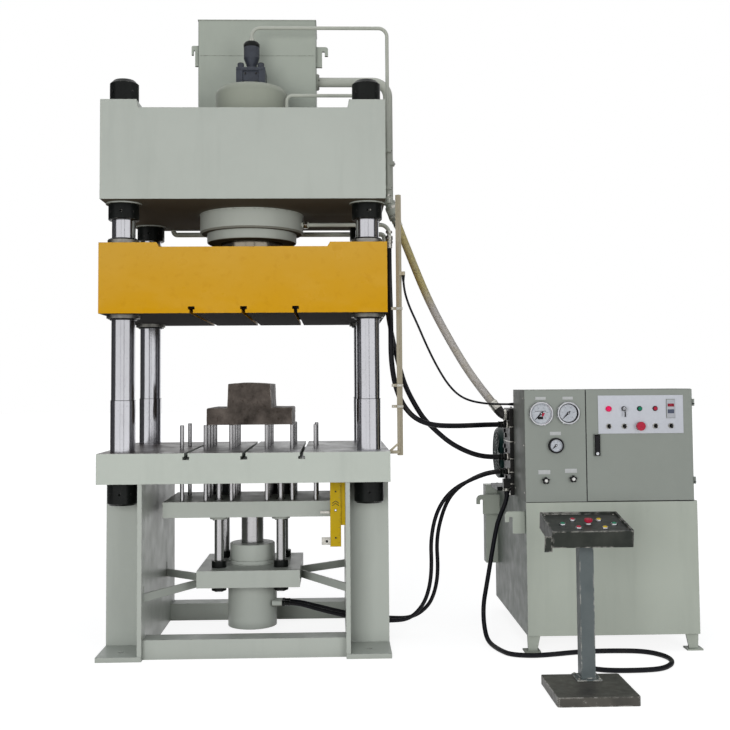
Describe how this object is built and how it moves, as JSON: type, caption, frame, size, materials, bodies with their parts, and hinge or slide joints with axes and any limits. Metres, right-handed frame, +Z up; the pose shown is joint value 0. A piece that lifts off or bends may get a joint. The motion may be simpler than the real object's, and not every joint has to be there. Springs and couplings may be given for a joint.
{
  "type": "four-column hydraulic press with power unit",
  "caption": "Four-column hydraulic press with moving slide and ejector, hose-linked power unit with control cabinet, and push-button pedestal.",
  "frame": {"origin": "middle of the press between its four columns, on the floor", "axes": "+X to the right towards the power unit, +Y away from the front, +Z up"},
  "size_m": [3.807, 2.313, 4.362],
  "materials": {
    "press_paint": "satin grey-green paint",
    "slide_paint": "semi-gloss amber paint",
    "column_chrome": "ground and hard-chromed",
    "black_steel": "blackened steel",
    "bed_steel": "machined and oiled",
    "bush_steel": "machined",
    "ram_chrome": "ground and hard-chromed",
    "valve_paint": "dark blue-grey paint",
    "pipe_paint": "satin grey-green paint",
    "rod_steel": "ground steel",
    "die_steel": "rough, oiled",
    "yellow_paint": "yellow paint with black marks",
    "post_paint": "cream paint",
    "motor_paint": "dark green paint",
    "cabinet_paint": "powder coat",
    "gauge_metal": "bright rim, white dial",
    "black_plastic": "moulded",
    "red_plastic": "moulded",
    "green_plastic": "moulded",
    "yellow_plastic": "moulded",
    "key_metal": "plated",
    "pedestal_paint": "worn grey paint",
    "hose_rubber": "rubber",
    "hose_tan": "ribbed",
    "cable_grey": "sheathed"
  },
  "bodies": {
    "frame": {"base_legs": "press_paint", "base_rails": "press_paint", "bed": "bed_steel", "crown": "press_paint", "guide_columns": "column_chrome", "column_nuts": "black_steel", "main_cylinder": "press_paint", "cylinder_nut": "press_paint", "cylinder_gland": "press_paint", "prefill_valve": "valve_paint", "upper_tank": "press_paint", "oil_pipes": "pipe_paint", "cylinder_pipe": "pipe_paint", "ejector_cylinder": "press_paint", "ejector_mount": "press_paint", "tie_rods": "rod_steel", "tie_rod_nuts": "black_steel", "stroke_rail": "yellow_paint", "hose_post": "post_paint", "power_tank": "press_paint", "pump_set": "motor_paint", "cabinet": "cabinet_paint", "gauges": "gauge_metal", "pedestal": "pedestal_paint", "return_hose": "hose_tan", "pressure_hose_a": "hose_rubber", "pressure_hose_b": "hose_rubber", "ejector_hose_a": "hose_rubber", "ejector_hose_b": "hose_rubber", "switch_cable": "cable_grey", "pedestal_cable": "cable_grey"},
    "press_slide": {"slide": "slide_paint", "slide_bushes": "bush_steel", "ram": "ram_chrome"},
    "ejector": {"ejector_plate": "press_paint", "ejector_rod": "ram_chrome", "ejector_pins": "rod_steel", "die_block": "die_steel"},
    "door": {"cabinet_door": "cabinet_paint"},
    "lever": {"door_handle": "black_plastic"},
    "key": {"key_switch": "key_metal"},
    "start_push": {"start_button": "green_plastic"},
    "stop_push": {"stop_button": "red_plastic"},
    "estop_push": {"estop_button": "red_plastic"},
    "selector_1_knob": {"selector_1": "black_plastic"},
    "selector_2_knob": {"selector_2": "black_plastic"},
    "selector_3_knob": {"selector_3": "black_plastic"},
    "selector_4_knob": {"selector_4": "black_plastic"},
    "needle_1": {"gauge_needle_1": "black_plastic"},
    "needle_2": {"gauge_needle_2": "black_plastic"},
    "needle_3": {"gauge_needle_3": "black_plastic"},
    "flow_1": {"flow_knob_1": "black_plastic"},
    "flow_2": {"flow_knob_2": "black_plastic"},
    "push_green_left": {"pedestal_green_left": "green_plastic"},
    "push_red_rear": {"pedestal_red_rear": "red_plastic"},
    "push_red_front": {"pedestal_red_front": "red_plastic"},
    "push_mushroom": {"pedestal_mushroom": "red_plastic"},
    "push_yellow_rear": {"pedestal_yellow_rear": "yellow_plastic"},
    "push_yellow_front": {"pedestal_yellow_front": "yellow_plastic"},
    "push_green_right": {"pedestal_green_right": "green_plastic"}
  },
  "joints": [
    {"name": "slide_stroke", "type": "slide", "parent": "frame", "child": "press_slide", "axis": [0, 0, 1], "range_m": [-0.42, 0.09]},
    {"name": "ejector_stroke", "type": "slide", "parent": "frame", "child": "ejector", "axis": [0, 0, 1], "range_m": [-0.15, 0]},
    {"name": "door_hinge", "type": "hinge", "parent": "frame", "child": "door", "pos_m": [2.86, -0.58, 1.3], "axis": [0, 0, 1], "range_deg": [0, 110]},
    {"name": "lever_pivot", "type": "hinge", "parent": "door", "child": "lever", "pos_m": [2.236, -0.587, 1.251], "axis": [1, 0, 0], "range_deg": [0, 40]},
    {"name": "key_turn", "type": "hinge", "parent": "door", "child": "key", "pos_m": [2.413, -0.579, 1.53], "axis": [0, 1, 0], "range_deg": [0, 90]},
    {"name": "start_press", "type": "slide", "parent": "door", "child": "start_push", "axis": [0, 1, 0], "range_m": [0, 0.004], "stiffness_N_per_m": 500},
    {"name": "stop_press", "type": "slide", "parent": "door", "child": "stop_push", "axis": [0, 1, 0], "range_m": [0, 0.004], "stiffness_N_per_m": 500},
    {"name": "estop_press", "type": "slide", "parent": "door", "child": "estop_push", "axis": [0, 1, 0], "range_m": [0, 0.005], "stiffness_N_per_m": 600},
    {"name": "selector_1_turn", "type": "hinge", "parent": "door", "child": "selector_1_knob", "pos_m": [2.313, -0.579, 1.419], "axis": [0, 1, 0], "range_deg": [-45, 45]},
    {"name": "selector_2_turn", "type": "hinge", "parent": "door", "child": "selector_2_knob", "pos_m": [2.413, -0.579, 1.419], "axis": [0, 1, 0], "range_deg": [-45, 45]},
    {"name": "selector_3_turn", "type": "hinge", "parent": "door", "child": "selector_3_knob", "pos_m": [2.613, -0.579, 1.419], "axis": [0, 1, 0], "range_deg": [-45, 45]},
    {"name": "selector_4_turn", "type": "hinge", "parent": "door", "child": "selector_4_knob", "pos_m": [2.713, -0.579, 1.419], "axis": [0, 1, 0], "range_deg": [-45, 45]},
    {"name": "needle_1_turn", "type": "hinge", "parent": "frame", "child": "needle_1", "pos_m": [1.879, -0.59, 1.503], "axis": [0, 1, 0], "range_deg": [0, 270], "stiffness_Nm_per_rad": 0.01},
    {"name": "needle_2_turn", "type": "hinge", "parent": "frame", "child": "needle_2", "pos_m": [2.053, -0.59, 1.505], "axis": [0, 1, 0], "range_deg": [0, 270], "stiffness_Nm_per_rad": 0.01},
    {"name": "needle_3_turn", "type": "hinge", "parent": "frame", "child": "needle_3", "pos_m": [1.971, -0.59, 1.3], "axis": [0, 1, 0], "range_deg": [0, 270], "stiffness_Nm_per_rad": 0.01},
    {"name": "flow_1_turn", "type": "hinge", "parent": "frame", "child": "flow_1", "pos_m": [1.901, -0.59, 1.08], "axis": [0, 1, 0], "range_deg": [-360, 360]},
    {"name": "flow_2_turn", "type": "hinge", "parent": "frame", "child": "flow_2", "pos_m": [2.076, -0.59, 1.089], "axis": [0, 1, 0], "range_deg": [-360, 360]},
    {"name": "press_green_left", "type": "slide", "parent": "frame", "child": "push_green_left", "axis": [0, 0.1736, -0.9848], "range_m": [0, 0.004], "stiffness_N_per_m": 500},
    {"name": "press_red_rear", "type": "slide", "parent": "frame", "child": "push_red_rear", "axis": [0, 0.1736, -0.9848], "range_m": [0, 0.004], "stiffness_N_per_m": 500},
    {"name": "press_red_front", "type": "slide", "parent": "frame", "child": "push_red_front", "axis": [0, 0.1736, -0.9848], "range_m": [0, 0.004], "stiffness_N_per_m": 500},
    {"name": "press_mushroom", "type": "slide", "parent": "frame", "child": "push_mushroom", "axis": [0, 0.1736, -0.9848], "range_m": [0, 0.004], "stiffness_N_per_m": 500},
    {"name": "press_yellow_rear", "type": "slide", "parent": "frame", "child": "push_yellow_rear", "axis": [0, 0.1736, -0.9848], "range_m": [0, 0.004], "stiffness_N_per_m": 500},
    {"name": "press_yellow_front", "type": "slide", "parent": "frame", "child": "push_yellow_front", "axis": [0, 0.1736, -0.9848], "range_m": [0, 0.004], "stiffness_N_per_m": 500},
    {"name": "press_green_right", "type": "slide", "parent": "frame", "child": "push_green_right", "axis": [0, 0.1736, -0.9848], "range_m": [0, 0.004], "stiffness_N_per_m": 500}
  ]
}
